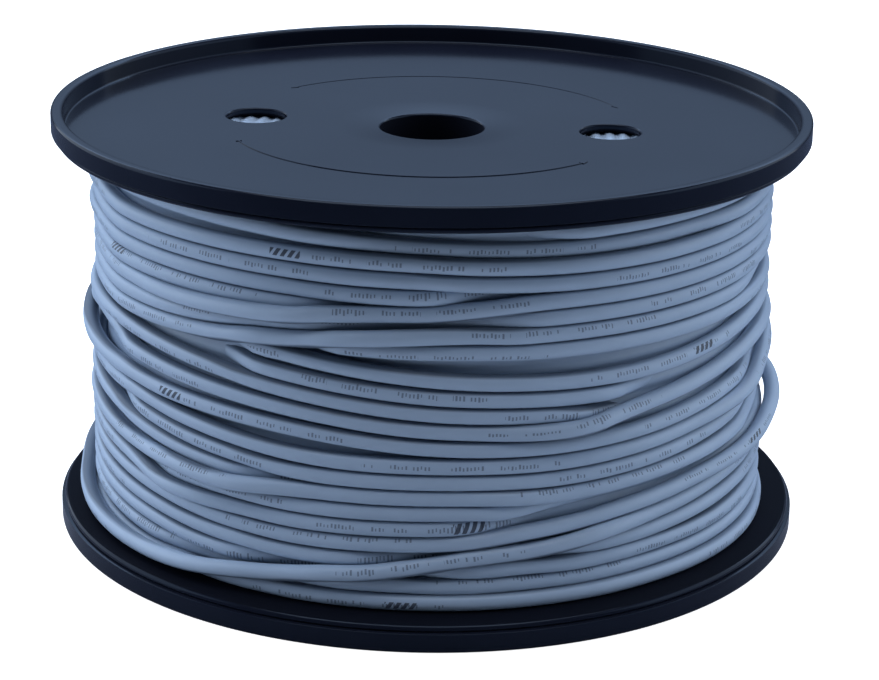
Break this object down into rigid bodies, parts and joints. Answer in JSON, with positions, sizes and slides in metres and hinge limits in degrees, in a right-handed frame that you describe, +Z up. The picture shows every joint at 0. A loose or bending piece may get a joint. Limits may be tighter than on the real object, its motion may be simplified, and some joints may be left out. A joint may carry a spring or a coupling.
{
  "type": "spool of electrical cable",
  "caption": "Round plastic spool with dished flanges, a plain bore and drive holes, wound full with single-core insulated electrical cable.",
  "frame": {"origin": "centre of the lower flange's rim, on the plane that the spool stands on", "axes": "+Z up along the bore, from the lower flange to the upper; +X through the drive holes"},
  "size_m": [0.16, 0.16, 0.09],
  "materials": {
    "spool_plastic": "near-black injection-moulded plastic, semi-gloss",
    "cable_insulation": "satin blue-grey insulation with faint dark print marks"
  },
  "bodies": {
    "root": {"lower_spool_half": "spool_plastic", "upper_spool_half": "spool_plastic", "wound_cable": "cable_insulation"}
  },
  "joints": []
}
